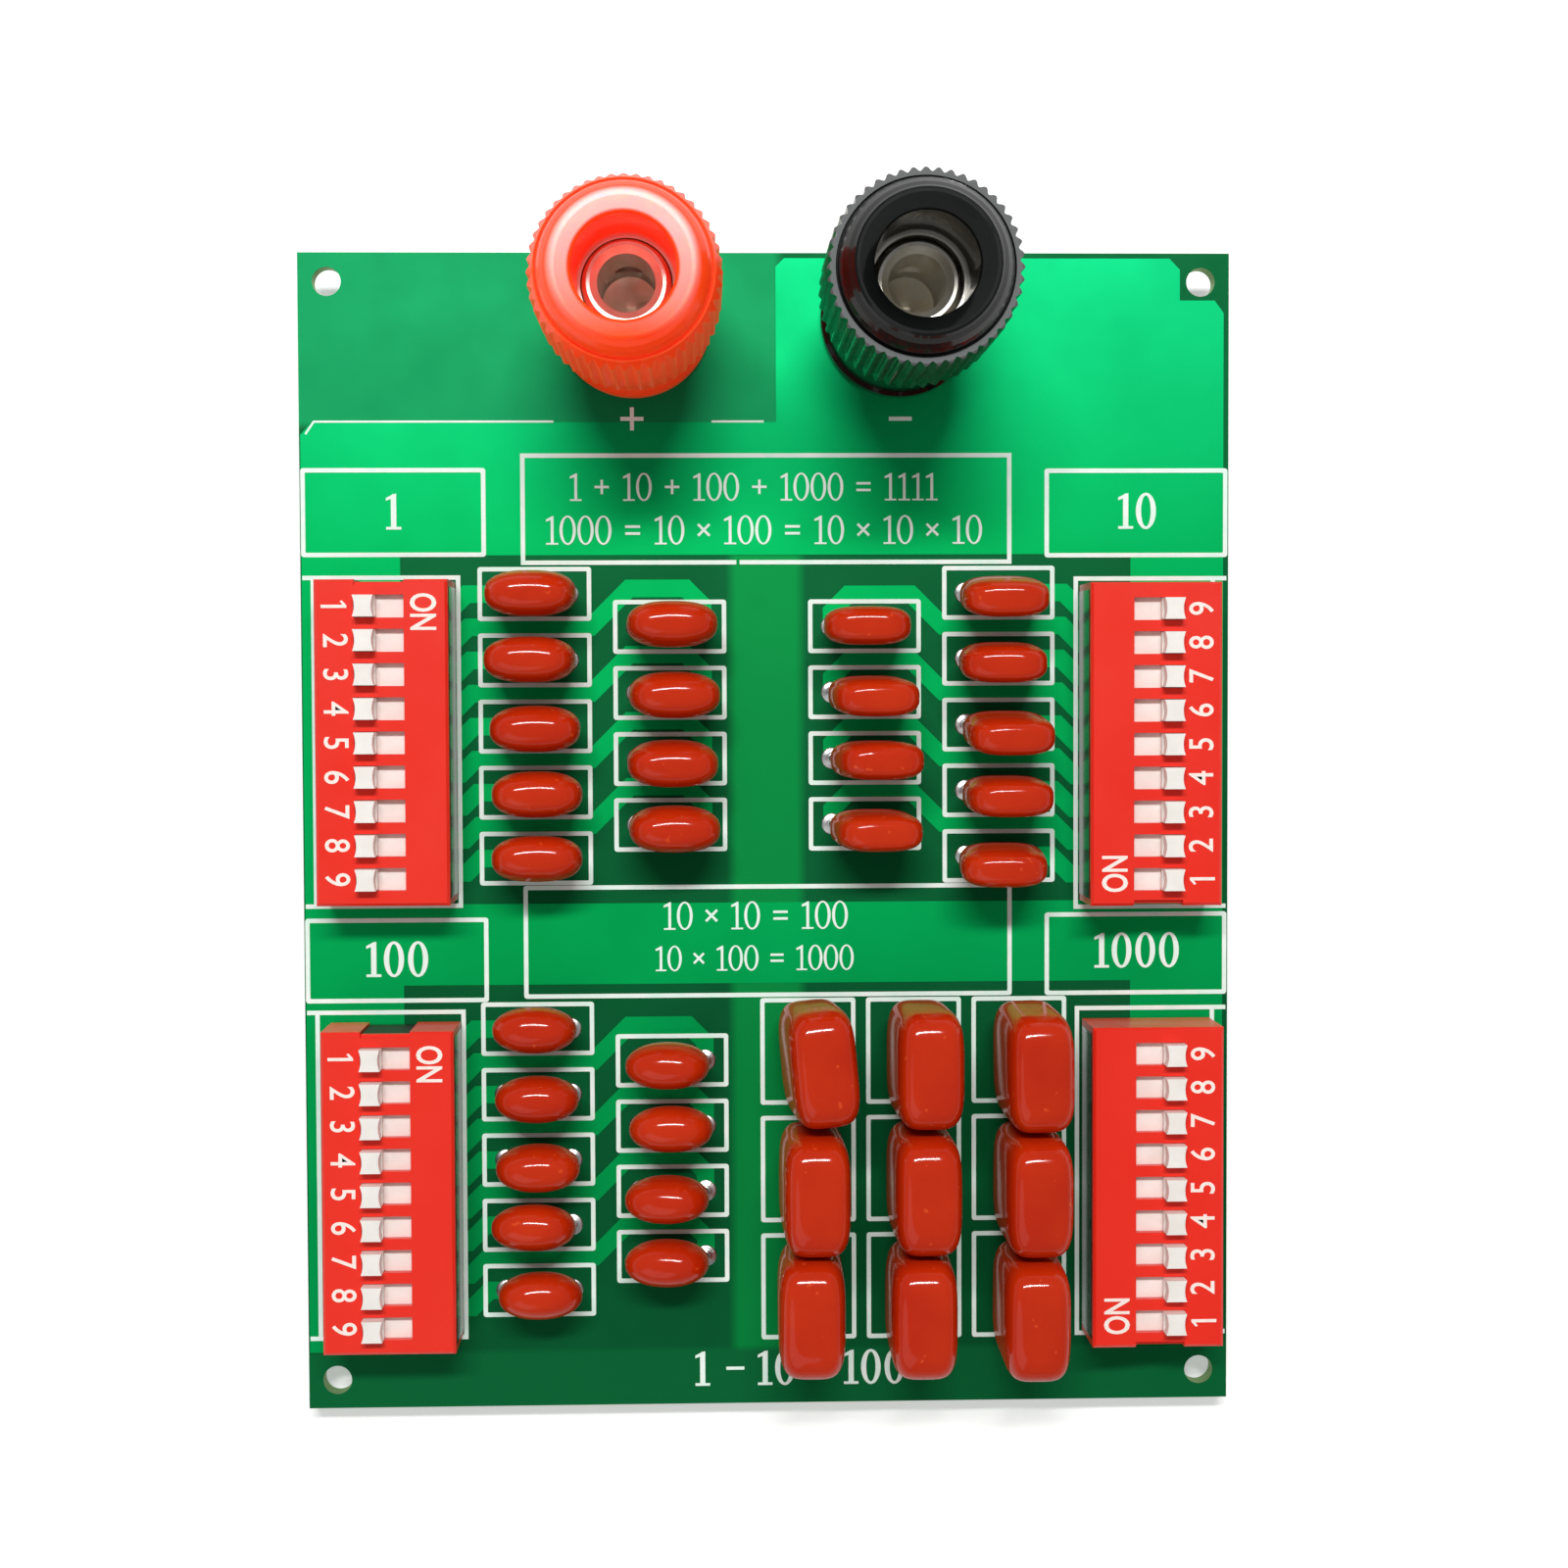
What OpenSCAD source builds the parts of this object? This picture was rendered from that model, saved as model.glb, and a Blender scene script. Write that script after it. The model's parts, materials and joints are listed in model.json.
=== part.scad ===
// Programmable capacitor board: four decade banks of switched capacitors and two binding posts.
// The origin is the centre of the corner hole pattern on the solder side, +Z is the component side,
// and +Y points to the binding posts. All sizes are in millimetres.

/* [Board] */
// Width of the circuit board, left to right
board_w = 71.4; // [70:0.1:80]
// Length of the circuit board, up to the edge with the binding posts
board_l = 88.9; // [86:0.1:100]
// Thickness of the laminate
board_t = 1.6; // [1:0.1:2.4]
// Distance from each corner hole's centre to the two board edges next to it
hole_inset = 2.2; // [1.8:0.1:2.6]
// Diameter of the four corner holes
hole_d = 2.2; // [1.6:0.1:2.6]

/* [Bank places] */
// Distance from the board's side edge to the middle of a switch
switch_inset = 6.85; // [6.2:0.05:7]
// Distance from the bottom edge to the middle of the lower switches
lower_bank_inset = 17.95; // [17:0.05:19]
// Distance from the lower banks to the upper banks
bank_spacing = 33.5; // [32:0.1:34]
// Distance from a switch cover to the nearest lead of the small capacitors
cover_lead_gap = 3.51; // [3.4:0.01:4]
// Place of the inner capacitor columns, as a share of the outer columns' distance from the middle
inner_share = 0.42; // [0.4:0.005:0.44]

/* [Slide switches] */
// Spacing of the switch positions along the switch
pitch = 2.54; // [2.4:0.01:2.6]
// Distance between the two rows of switch pins
pin_row_span = 7.62; // [7.4:0.01:7.8]
// Width of the switch cover, along the way that the sliders move
cover_w = 9.9; // [9.8:0.1:10.4]
// Plastic beyond the middle of the first and last position
cover_end = 1.99; // [1.9:0.01:2.4]
// Height of the cover's top face above the board
cover_h = 6.3; // [6:0.1:7]
// Thickness of the cover's top plate
cover_top = 0.7; // [0.6:0.05:0.9]
// Thickness of the cover's long side walls
cover_wall = 0.6; // [0.4:0.05:0.65]
// Thickness of the cover's end walls
end_wall = 0.55; // [0.5:0.05:0.6]
// Gap left under the cover and the switch base
standoff = 0.45; // [0.3:0.05:0.6]
// Bevel round the cover's top edge
cover_bevel = 0.2; // [0.1:0.05:0.3]
// Width of the mark notch in the end wall beside position 1
notch_w = 3.7; // [2:0.05:4]
// Width of the shelf in that notch, from the end of the cover
notch_shelf = 0.43; // [0.3:0.01:0.5]
// Drop from the cover's top face to that shelf
notch_drop = 0.4; // [0.2:0.05:0.5]
// How far the shelf and the base's tab under it lie behind the end wall's face
notch_inset = 0.18; // [0.1:0.01:0.25]
// Distance that each slider travels
travel = 2.06; // [1.6:0.02:2.1]
// Length of the slider's nub along its travel
nub_l = 1.55; // [1.4:0.05:1.6]
// Width of the nub
nub_w = 1.6; // [1.3:0.05:1.65]
// Height of the nub above the cover
nub_rise = 1.2; // [0.6:0.1:1.4]
// Depth of the thumb hollows in the nub's two faces
nub_hollow = 0.16; // [0.08:0.02:0.24]
// Distance of the slots from the cover's middle, towards the numbers
slot_shift = 0.15; // [0.1:0.01:0.2]
// Thickness of the carrier plate under the cover
carrier_t = 1; // [0.8:0.05:1.2]
// Width of the carrier plate
carrier_w = 1.9; // [1.85:0.05:2.1]
// Thickness of the base's floor
base_floor = 1.7; // [1.4:0.05:1.8]
// Thickness of the base's walls between positions
base_rib = 0.8; // [0.6:0.05:0.9]
// Thickness of the stamped switch terminals
terminal_t = 0.25; // [0.2:0.01:0.3]
// Thickness of the contact springs
spring_t = 0.12; // [0.1:0.01:0.15]

/* [Small capacitors] */
// Distance between the two leads of a small capacitor
lead_span = 5.08; // [4.8:0.01:5.3]
// Diameter of the lead wires
lead_d = 0.5; // [0.4:0.05:0.6]
// Length, thickness and height of the units capacitors
units_size = [6.7, 3.5, 6.5];
// Length, thickness and height of the tens capacitors
tens_size = [6.4, 3.1, 7.2];
// Length, thickness and height of the hundreds capacitors
hundreds_size = [6.1, 4, 5];
// Height of the small bodies' seats above the board
small_lift = 1.5; // [1.3:0.1:2]

/* [Large capacitors] */
// Length, thickness and height of the thousands capacitors
thousands_size = [8.9, 5, 10.8];
// Distance between the two leads of a large capacitor
large_lead_span = 5.08; // [4.5:0.01:6]
// Height of the large bodies' seats above the board
large_lift = 1.5; // [1.2:0.1:2]
// Distance from the board's middle to the nearest large capacitors
large_middle_gap = 0.52; // [0.3:0.01:1]
// Distance from the switch cover to the nearest large capacitors
large_cover_gap = 1.98; // [1.5:0.01:2.4]
// Spacing of the large capacitors along the board
large_pitch_y = 9.17; // [9:0.01:9.4]

/* [Binding posts] */
// Distance between the two binding posts
post_span = 20.32; // [18:0.01:24]
// Distance from the posts' middle to the board's top edge
post_inset = 5.08; // [5:0.01:7]
// Diameter over the knob's ridges
knob_d = 13.4; // [12.8:0.1:15]
// Length of the ridged part of the knob
knob_grip = 12.9; // [10:0.1:16]
// Height of the boss above the ridged part
boss_h = 2.2; // [2:0.1:4]
// Diameter of the boss at its foot
boss_d = 11.9; // [11.6:0.1:12.2]
// Diameter of the boss at its rim
rim_d = 9.9; // [9.6:0.1:10.4]
// Diameter of the mouth that a plug goes into
mouth_d = 7.12; // [6.8:0.01:7.4]
// Depth of the funnel from the rim to the mouth
mouth_drop = 0.85; // [0.5:0.05:1.2]
// How far the black knob is unscrewed
black_lift = 1.35; // [0:0.05:2]
// Depth of the knob's ridges
ridge_depth = 0.35; // [0.2:0.05:0.45]
// Number of ridges round the knob
ridge_count = 48; // [36:1:60]
// Diameter of the post's thread
stud_d = 6.4; // [5.8:0.1:6.6]
// Diameter of the socket for a plug
socket_d = 4.1; // [3.9:0.01:4.2]
// Depth of the socket's straight wall
socket_depth = 10.6; // [8:0.1:11]
// Distance from the knob's underside to the top of the post
stud_reach = 7.6; // [7.2:0.1:9]
// Diameter of the collar between the board and the knob
collar_d = 12; // [11:0.1:12.6]
// Height of the collar
collar_h = 8.4; // [6:0.1:10]
// Thickness of the post's metal flange on the collar
flange_t = 1.2; // [0.8:0.1:1.6]
// Diameter of that flange
flange_d = 10; // [9:0.1:10.8]
// Distance across the flats of the nuts under the board
nut_flats = 10; // [9:0.1:11]
// Thickness of the nuts
nut_t = 2.5; // [2:0.1:4]
// Thickness of the washers
washer_t = 0.6; // [0.5:0.1:1.2]

/* [Hidden] */
positions = 9;
banks = ["units", "tens", "hundreds", "thousands"];
last_bank = len(banks) - 1;
posts = ["red", "black"];
function slider_name(bank, position) = str(banks[bank], "_slider_", position);

$fn = 48;
// A cut runs this far past the face that it opens
past = 1;
// Gap round a part that slides
slide_gap = 0.05;
// Gap round a wire or pin in its hole
wire_gap = 0.02;
// Radial gap of the knob on its insert and of the insert on the post
turn_gap = 0.05;
// Radial gap of the post in the collar, washer and board
post_gap = 0.1;

// Places of the banks. Even banks are on the left, and odd ones on the right.
switch_x = board_w / 2 - switch_inset;
lower_bank_y = lower_bank_inset - board_l / 2;
function bank_side(bank) = bank % 2 == 0 ? -1 : 1;
// From the board's middle to a switch cover, and the places of the capacitors in that room
bank_room = switch_x - cover_w / 2;
outer_column = bank_room - cover_lead_gap - lead_span / 2;
inner_column = inner_share * outer_column;
large_pitch_x = (bank_room - large_middle_gap - large_cover_gap - thousands_size[1]) / 2;
large_first_x = large_middle_gap + thousands_size[1] / 2;
function bank_y(bank) = lower_bank_y + (bank < 2 ? bank_spacing : 0);
function row_y(row) = ((positions + 1) / 2 - row) * pitch;

// Heights in a switch, above the board
cover_l = (positions - 1) * pitch + 2 * cover_end;
cover_ceiling = cover_h - cover_top;
carrier_top = cover_ceiling - slide_gap;
carrier_bottom = carrier_top - carrier_t;
floor_top = standoff + base_floor;
rib_top = carrier_bottom - slide_gap;
foot_r = 0.5;
foot_drop = 0.95;
foot_bottom = carrier_bottom - foot_drop;
land_top = floor_top + terminal_t;

// Places in a switch along the slider's travel, from the middle of the cover to the inner side
slot_l = nub_l + travel + 2 * slide_gap;
slot_w = nub_w + 2 * slide_gap;
off_u = -slot_shift - travel / 2;
on_u = -slot_shift + travel / 2;
carrier_lap = 0.12;
carrier_l = slot_l + travel + 2 * carrier_lap;
pin_u = pin_row_span / 2;
leg_w = 0.5;
land_w = 1.2;
land_reach = 1.7;
spring_w = 1;

// Leads, drilled holes and solder under the board
lead_tail = 1.1;
solder_r = 0.85;
solder_tip_r = 0.45;
solder_h = lead_tail + 0.2;
lead_hole_r = lead_d / 2 + 0.15;
pin_hole_r = leg_w / 2 + 0.2;
// Height at which a lead bends
bend_h = 0.4;
// A crimped bend is a little thicker than the wire
bend_d = 1.08 * lead_d;
// How far each switch sits from its bank's place, to the right and towards the binding posts
switch_shifts = [[0, 0.18], [0.2, -0.18], [0.15, -0.06], [0.38, -0.2]];

// How much closer together the two leads are where they enter a body
small_crimp = 1.9;
large_crimp = 0.7;

// Faces round a capacitor body, and levels from its seat to its top
body_sides = 20;
body_levels = 7;

// How far each capacitor leans from upright, in degrees: towards the bottom edge, and to the right.
// Rows run from the top of the board down, and the large ones run across each row.
leans = [
    [[0, 0], [-1, 2], [0, -1], [2, 5], [3, 5], [3, 4], [2, 6], [1, 6], [-2, 5]],
    [[9, 0], [2, 0], [5, -2], [6, 8], [7, 4], [0, 11], [4, 4], [3, 9], [5, -3]],
    [[-6, -1], [3, -5], [-2, 4], [-3, -2], [0, 4], [4, -6], [-9, -2], [0, -7], [-8, 5]],
    [[1, 4], [1, 2], [1, 1], [0, -1], [0, 0], [0, 1], [-2, -1], [-2, -1], [-1, 0]],
];
// The first large capacitor is also turned a little on its leads
large_turns = [5, 0, 1, 0, 0, 0, 0, 0, 0];

// Heights of a binding post, above the board
flange_top = collar_h + flange_t;
knob_seat_gap = 0.1;
insert_bottom = flange_top + knob_seat_gap;
insert_flange_t = 0.7;
knob_bottom = insert_bottom + insert_flange_t + turn_gap;
lifts = [0, black_lift];
stud_top = knob_bottom + stud_reach;
stud_taper_h = 1.3;
stud_taper = 0.4;
stud_tail = 1;
socket_bevel = 0.5;
insert_h = 6.4;
insert_d = 8.8;
insert_flange_d = 10.4;
stud_r = stud_d / 2;
drill_cone_h = socket_d / 2 / tan(59);
post_y = board_l / 2 - post_inset;
washer_d = 11.5;

module at_switch(bank)
    translate([bank_side(bank) * switch_x, bank_y(bank), board_t] + [each switch_shifts[bank], 0])
        rotate(bank_side(bank) > 0 ? 180 : 0)
            children();

module at_position(bank, position)
    at_switch(bank) translate([0, row_y(position), 0]) children();

// The body's own X runs between its two leads, and its origin is on the board's top face
function is_large(bank) = bank == last_bank;
function small_x(bank, row) = bank_side(bank) * (row % 2 == 1 ? outer_column : inner_column);
function large_x(row) = large_first_x + (row - 1) % 3 * large_pitch_x;
function large_y(row) = lower_bank_y + 0.35 + (1 - floor((row - 1) / 3)) * large_pitch_y;

module at_capacitor(bank, row)
    if (is_large(bank))
        translate([large_x(row), large_y(row), board_t]) rotate(90 + large_turns[row - 1]) children();
    else
        translate([small_x(bank, row), bank_y(bank) + row_y(row) + pitch / 2, board_t]) children();

// How far a body is turned about its own X and Y
function lean_turn(bank, row) =
    let (lean = leans[bank][row - 1])
    is_large(bank) ? [lean[1], lean[0], 0] : [lean[0], lean[1], 0];

// A leaning body's frame starts at the height where the leads bend
module leaning(bank, row)
    translate([0, 0, bend_h]) rotate(lean_turn(bank, row)) children();

// The place of a point of the leaning body's frame
function tilted(bank, row, p) =
    let (turn = lean_turn(bank, row), y = p[1] * cos(turn[0]) - p[2] * sin(turn[0]),
        z = p[1] * sin(turn[0]) + p[2] * cos(turn[0]))
    [p[0] * cos(turn[1]) + z * sin(turn[1]), y, bend_h - p[0] * sin(turn[1]) + z * cos(turn[1])];

function lift(bank) = (is_large(bank) ? large_lift : small_lift) - bend_h;
function span(bank) = is_large(bank) ? large_lead_span : lead_span;
function seat(bank) = span(bank) - (is_large(bank) ? large_crimp : small_crimp);

// Board

module capacitor_lead_places()
    for (bank = [0 : last_bank], row = [1 : positions], end = [-1, 1])
        at_capacitor(bank, row) translate([end * span(bank) / 2, 0, 0]) children();

module pin_places()
    for (bank = [0 : last_bank], position = [1 : positions], end = [-1, 1])
        at_position(bank, position) translate([end * pin_u, 0, 0]) children();

module post_places()
    for (side = [-1, 1]) translate([side * post_span / 2, post_y, 0]) children();

module drill(r) translate([0, 0, -board_t - past]) cylinder(r = r, h = board_t + 2 * past);

module circuit_board()
    color([0.05, 0.6, 0.3])
        difference() {
            translate([-board_w / 2, -board_l / 2, 0]) cube([board_w, board_l, board_t]);
            for (x = [-1, 1], y = [-1, 1])
                translate([x * (board_w / 2 - hole_inset), y * (board_l / 2 - hole_inset), board_t])
                    drill(hole_d / 2);
            post_places() translate([0, 0, board_t]) drill(stud_r + post_gap);
            capacitor_lead_places() drill(lead_hole_r);
            pin_places() drill(pin_hole_r);
        }

// A solder cone hangs under the board round the end of a lead
module solder_cone()
    translate([0, 0, -board_t])
        rotate_extrude()
            polygon([[0, -solder_h], [solder_tip_r * 0.7, -solder_h], [solder_tip_r, -solder_h + 0.15],
                [solder_tip_r + 0.08, -solder_h * 0.4], [solder_r, -0.05], [solder_r, 0], [0, 0]]);

module solder_joints()
    color([0.8, 0.81, 0.83]) {
        capacitor_lead_places()
            difference() {
                solder_cone();
                translate([0, 0, -board_t - lead_tail - wire_gap])
                    cylinder(r = lead_d / 2 + wire_gap, h = lead_tail + past);
            }
        pin_places()
            difference() {
                solder_cone();
                pin_leg(-board_t - lead_tail - wire_gap, past, wire_gap);
            }
    }

// Capacitors

module lead_wire(from, to) {
    run = to - from;
    translate(from)
        rotate([0, atan2(norm([run[0], run[1]]), run[2]), atan2(run[1], run[0])])
            cylinder(r = lead_d / 2, h = norm(run));
}

module lead_bend(place) translate(place) sphere(d = bend_d);

// A lead stands in its hole, leans in to the body's seat, and runs straight into it
module capacitor_lead(bank, row, end) {
    foot = [end * span(bank) / 2, 0, bend_h];
    head = tilted(bank, row, [end * seat(bank) / 2, 0, lift(bank)]);
    neck = tilted(bank, row, [end * seat(bank) / 2, 0, lift(bank) - lead_d]);
    lead_wire(foot - [0, 0, bend_h + board_t + lead_tail], foot);
    lead_bend(foot);
    lead_wire(foot, neck);
    lead_bend(neck);
    lead_wire(neck, head);
}

module capacitor_leads()
    color([0.82, 0.83, 0.85])
        for (bank = [0 : last_bank], row = [1 : positions], end = [-1, 1])
            at_capacitor(bank, row) union() capacitor_lead(bank, row, end);

function signed_power(x, p) = sign(x) * pow(abs(x), p);

// One level of a dipped body: an ellipse squared off by plan_power
function body_level(size, plan_power, scale, z) = [
    for (k = [0 : body_sides - 1])
        let (turn = 360 * (k + 0.5) / body_sides)
        [scale * size[0] / 2 * signed_power(cos(turn), 2 / plan_power),
            scale * size[1] / 2 * signed_power(sin(turn), 2 / plan_power), z]];

// A dipped body swells from its flat seat, where the leads come out, and closes over its rounded top
module dipped_body(size, plan_power, side_power, seat_scale) {
    seat_turn = acos(pow(seat_scale, side_power / 2));
    seat_drop = pow(sin(seat_turn), 2 / side_power);
    half_h = size[2] / (1 + seat_drop);
    crown_turn = 82;
    turns = [for (j = [0 : body_levels]) -seat_turn + (seat_turn + crown_turn) * j / body_levels];
    points = [for (turn = turns)
        each body_level(size, plan_power, pow(cos(turn), 2 / side_power),
            half_h * (seat_drop + signed_power(sin(turn), 2 / side_power)))];
    walls = [for (j = [0 : body_levels - 1], k = [0 : body_sides - 1])
        let (next = (k + 1) % body_sides, low = j * body_sides, high = low + body_sides)
        [low + k, high + k, high + next, low + next]];
    seat_face = [for (k = [0 : body_sides - 1]) k];
    crown = [for (k = [body_sides - 1 : -1 : 0]) body_levels * body_sides + k];
    polyhedron(points, concat([seat_face], walls, [crown]));
}

module capacitors(bank, size, plan_power, side_power)
    color([0.86, 0.22, 0.09])
        for (row = [1 : positions])
            at_capacitor(bank, row)
                leaning(bank, row)
                    translate([0, 0, lift(bank)])
                        dipped_body(size, plan_power, side_power, (seat(bank) + 2 * lead_d) / size[0]);

module units_capacitors() capacitors(0, units_size, 2.5, 3);
module tens_capacitors() capacitors(1, tens_size, 3.4, 4);
module hundreds_capacitors() capacitors(2, hundreds_size, 2.2, 2.6);
module thousands_capacitors() capacitors(3, thousands_size, 4, 5);

// Slide switches

// A box on the cover's outline with its top edges bevelled
module bevelled_box(w, l, low, high, bevel)
    intersection() {
        rotate([90, 0, 0])
            linear_extrude(l + 2 * past, center = true)
                polygon([[-w / 2, low], [w / 2, low], [w / 2, high - bevel], [w / 2 - bevel, high],
                    [bevel - w / 2, high], [-w / 2, high - bevel]]);
        rotate([90, 0, 90])
            linear_extrude(w + 2 * past, center = true)
                polygon([[-l / 2, low], [l / 2, low], [l / 2, high - bevel], [l / 2 - bevel, high],
                    [bevel - l / 2, high], [-l / 2, high - bevel]]);
    }

module centred_box(w, l, low, high)
    translate([-w / 2, -l / 2, low]) cube([w, l, high - low]);

inner_w = cover_w - 2 * cover_wall;
inner_l = cover_l - 2 * end_wall;

module switch_cover(bank)
    color([0.94, 0.22, 0.16])
        at_switch(bank)
            difference() {
                bevelled_box(cover_w, cover_l, standoff, cover_h, cover_bevel);
                centred_box(inner_w, inner_l, standoff - past, cover_ceiling);
                for (position = [1 : positions])
                    translate([-slot_shift, row_y(position), 0])
                        centred_box(slot_l, slot_w, cover_ceiling - past, cover_h + past);
                translate([-slot_shift, cover_l / 2, 0]) {
                    centred_box(notch_w, 2 * notch_shelf, cover_h - notch_drop, cover_h + past);
                    centred_box(notch_w, 2 * notch_inset, standoff - past, cover_h + past);
                    centred_box(notch_w, 2 * (end_wall + slide_gap), standoff - past, cover_ceiling);
                }
            }

base_w = inner_w - 2 * slide_gap;
base_l = inner_l - 2 * slide_gap;
carrier_room_l = (positions - 1) * pitch + carrier_w + 4 * slide_gap;
tab_w = notch_w - 2 * slide_gap;
tab_l = (cover_l - base_l) / 2 - notch_inset;

// The base's two ends rise past the carriers, a tab on one of them fills the cover's notch,
// and the cells leave room for each slider's foot
module switch_base()
    difference() {
        union() {
            centred_box(base_w, base_l, standoff, carrier_top);
            translate([-slot_shift, base_l / 2, 0]) centred_box(tab_w, 2 * tab_l, standoff, carrier_top);
        }
        centred_box(base_w + past, carrier_room_l, rib_top, carrier_top + past);
        for (position = [1 : positions])
            translate([0, row_y(position), 0]) {
                centred_box(base_w + past, pitch - base_rib, floor_top, rib_top + past);
                for (end = [-1, 1])
                    translate([end * pin_u, 0, 0]) pin_leg(standoff - past, floor_top + past, wire_gap);
            }
    }

module switch_bases()
    color([0.1, 0.1, 0.1])
        for (bank = [0 : last_bank]) at_switch(bank) switch_base();

// Heights are measured from the board's top face
module pin_leg(low, high, gap)
    centred_box(terminal_t + 2 * gap, leg_w + 2 * gap, low, high);

module switch_terminals()
    color([0.85, 0.8, 0.6])
        for (bank = [0 : last_bank], position = [1 : positions], end = [-1, 1])
            at_position(bank, position)
                scale_end(end)
                    union() {
                        translate([pin_u, 0, 0]) pin_leg(-board_t - lead_tail, land_top, 0);
                        translate([pin_u + terminal_t / 2 - land_reach, -land_w / 2, floor_top])
                            cube([land_reach, land_w, terminal_t]);
                    }

module scale_end(end) rotate(end > 0 ? 0 : 180) children();

// The spring is held on the outer terminal and rises to meet the slider's foot when it is on
module contact_springs()
    color([0.85, 0.6, 0.25])
        for (bank = [0 : last_bank], position = [1 : positions])
            at_position(bank, position)
                rotate([90, 0, 0])
                    linear_extrude(spring_w, center = true)
                        polygon(concat(spring_path, [for (k = [len(spring_path) - 1 : -1 : 0])
                            spring_path[k] + [0, spring_t]]));

spring_crest = foot_bottom - slide_gap - spring_t;
inner_land_u = pin_u + terminal_t / 2 - land_reach;
spring_path = [
    [-pin_u + 0.3, land_top],
    [-inner_land_u, land_top],
    [on_u - 0.5, spring_crest],
    [on_u + 0.3, spring_crest],
    [inner_land_u + 0.6, land_top + 0.35],
];

// A slider at its off place
module switch_slider(bank, position)
    color("white")
        at_position(bank, position)
            translate([off_u, 0, 0])
                difference() {
                    union() {
                        centred_box(carrier_l, carrier_w, carrier_bottom, carrier_top);
                        centred_box(nub_l, nub_w, carrier_bottom, cover_h + nub_rise);
                        centred_box(2 * foot_r, land_w, foot_bottom + foot_r, carrier_top);
                        translate([0, 0, foot_bottom + foot_r])
                            rotate([90, 0, 0]) cylinder(r = foot_r, h = land_w, center = true);
                    }
                    for (side = [-1, 1]) nub_scoop(side);
                }

// The hollow is part of a cylinder as wide as the nub is
module nub_scoop(side) {
    scoop_r = (nub_w * nub_w / 4 + nub_hollow * nub_hollow) / (2 * nub_hollow);
    translate([side * (nub_l / 2 + scoop_r - nub_hollow), 0, cover_h - slide_gap])
        cylinder(r = scoop_r, h = nub_rise + past);
}

// Binding posts

module at_post(post)
    translate([(post == 0 ? -1 : 1) * post_span / 2, post_y, board_t]) children();

function post_colour(post) = post == 0 ? [0.98, 0.3, 0.1] : [0.05, 0.05, 0.05];

// Rounded ridges as one outline
ridge_points = 6;
module ridged_outline()
    polygon([for (k = [0 : ridge_count * ridge_points - 1])
        let (turn = 360 * k / (ridge_count * ridge_points),
            r = knob_d / 2 - ridge_depth * (1 - cos(turn * ridge_count)) / 2)
        [r * cos(turn), r * sin(turn)]]);

rim_r = rim_d / 2;
boss_r = boss_d / 2;
mouth_r = mouth_d / 2;
throat_r = stud_r + 0.25;
knob_top = knob_grip + boss_h;
insert_pocket_h = insert_h + turn_gap;
// Width and height of the bevel over the ends of the ridges. The red knob's shoulder is rounded off.
shoulders = [[0.5, 1.3], [0.2, 0.2]];
// Width and depth of the groove at the boss's foot
groove_w = 0.15;
grooves = [0.08, 0.35];

// Half of the knob's section, without the ridges, from its underside
module knob_section(shoulder, groove)
    polygon([
        [insert_d / 2 + turn_gap, 0], [knob_d / 2 - 0.4, 0], [knob_d / 2 + past, 0.4 + past],
        [knob_d / 2 + past, knob_grip / 2],
        [knob_d / 2 + shoulder[0], knob_grip - 2 * shoulder[1]], [knob_d / 2 - shoulder[0], knob_grip],
        [boss_r + groove_w, knob_grip], [boss_r + groove_w - 0.05, knob_grip - groove],
        [boss_r, knob_grip - groove], [boss_r - 0.05, knob_grip + boss_h * 0.2],
        [boss_r - 0.25, knob_grip + boss_h * 0.45], [boss_r - 0.55, knob_grip + boss_h * 0.68],
        [rim_r + 0.15, knob_grip + boss_h * 0.85], [rim_r, knob_top - 0.1],
        [rim_r - 0.15, knob_top], [rim_r - 0.35, knob_top],
        [mouth_r + 0.1, knob_top - mouth_drop], [mouth_r, knob_top - mouth_drop - 0.15],
        [throat_r, stud_reach], [throat_r, insert_pocket_h], [insert_d / 2 + turn_gap, insert_pocket_h]]);

module knob(post)
    color(post_colour(post))
        at_post(post)
            translate([0, 0, knob_bottom + lifts[post]])
                intersection() {
                    rotate_extrude() knob_section(shoulders[post], grooves[post]);
                    union() {
                        linear_extrude(knob_grip) ridged_outline();
                        cylinder(r = boss_r + groove_w, h = knob_top + past);
                    }
                }

// The metal bush that carries the thread in the knob
module knob_insert(post)
    color([0.8, 0.8, 0.78])
        at_post(post)
            translate([0, 0, insert_bottom + lifts[post]])
                difference() {
                    union() {
                        cylinder(d = insert_flange_d, h = insert_flange_t);
                        cylinder(d = insert_d, h = insert_flange_t + insert_h);
                    }
                    translate([0, 0, -past])
                        cylinder(r = stud_r + turn_gap, h = insert_flange_t + insert_h + 2 * past);
                }

// The cross hole takes a bare wire under the knob
cross_hole_d = 2;
stud_bottom = -board_t - washer_t - nut_t - stud_tail;
module socket() {
    translate([0, 0, -socket_depth]) {
        cylinder(d = socket_d, h = socket_depth + past);
        translate([0, 0, -drill_cone_h]) cylinder(r1 = 0, r2 = socket_d / 2, h = drill_cone_h);
    }
    translate([0, 0, -socket_bevel])
        cylinder(d1 = socket_d, d2 = socket_d + 4 * socket_bevel, h = 2 * socket_bevel);
}

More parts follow.
